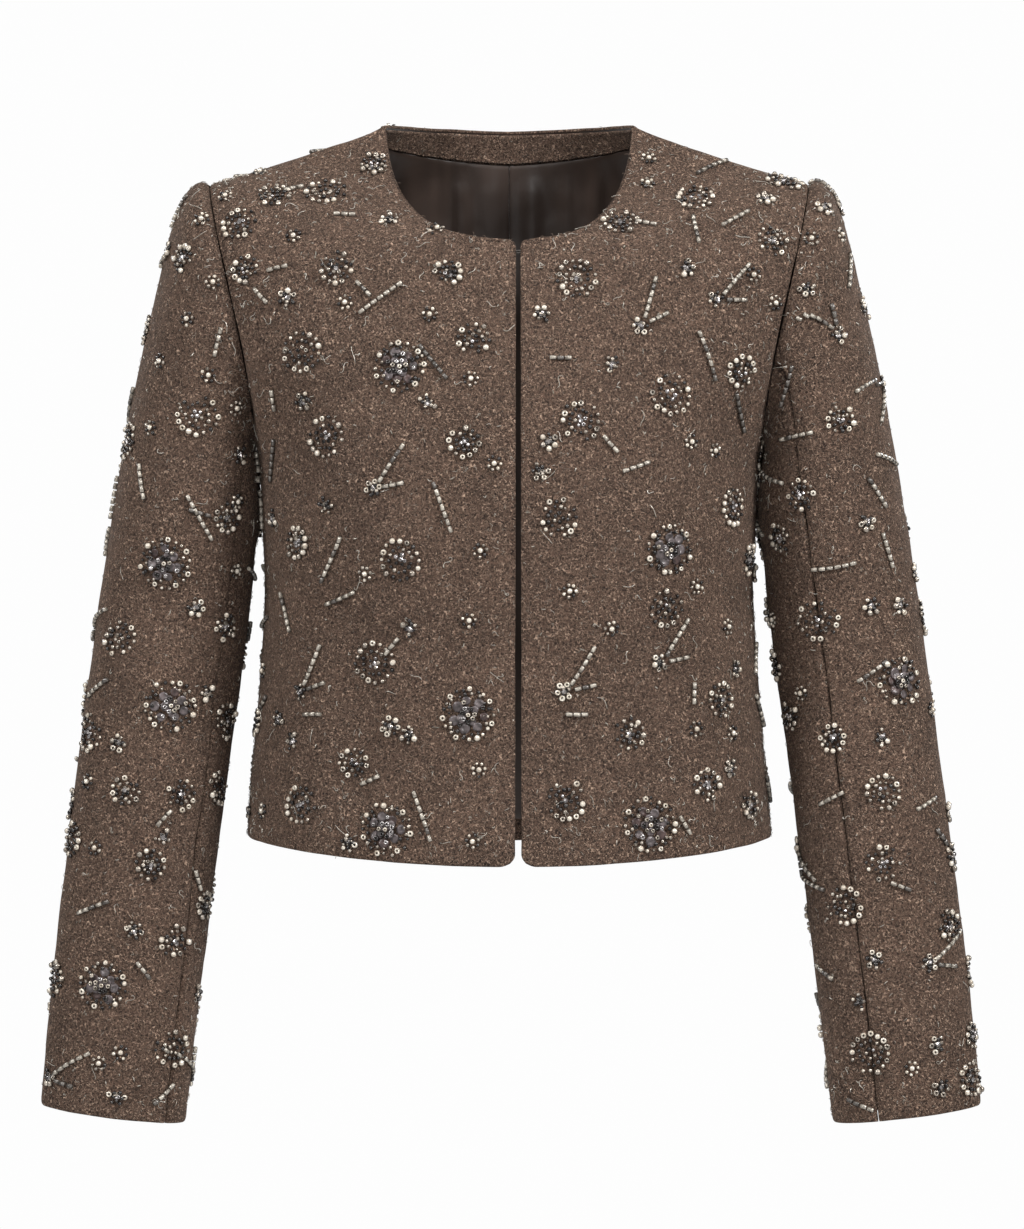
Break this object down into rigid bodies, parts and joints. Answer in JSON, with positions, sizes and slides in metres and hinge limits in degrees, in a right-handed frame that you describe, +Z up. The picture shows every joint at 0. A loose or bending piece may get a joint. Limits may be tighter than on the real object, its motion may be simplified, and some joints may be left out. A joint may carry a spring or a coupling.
{
  "type": "cropped collarless jacket",
  "caption": "Cropped collarless boucle jacket with a round neck, edge-to-edge front, long two-piece sleeves and scattered bead rosettes, open at neck, hem and cuffs.",
  "frame": {"origin": "between the shoulders, level with the points where the shoulder seams reach the neck, where the wearer's shoulders hold the jacket", "axes": "+X to the wearer's left, +Y to the wearer's back, +Z up"},
  "size_m": [0.6227, 0.2182, 0.6671],
  "materials": {
    "boucle": "curly wool loops with sparse metallic thread",
    "lining_satin": "satin",
    "beads": "silvery and gunmetal glass beads",
    "sequins": "translucent lilac-grey flat sequins",
    "hook_metal": "dark lacquered wire"
  },
  "bodies": {
    "root": {"front_right": "boucle", "front_left": "boucle", "back": "boucle", "sleeve_right_top": "boucle", "sleeve_right_under": "boucle", "sleeve_left_top": "boucle", "sleeve_left_under": "boucle", "neck_facing": "boucle", "lining_back_right": "lining_satin", "lining_back_left": "lining_satin"}
  },
  "joints": []
}
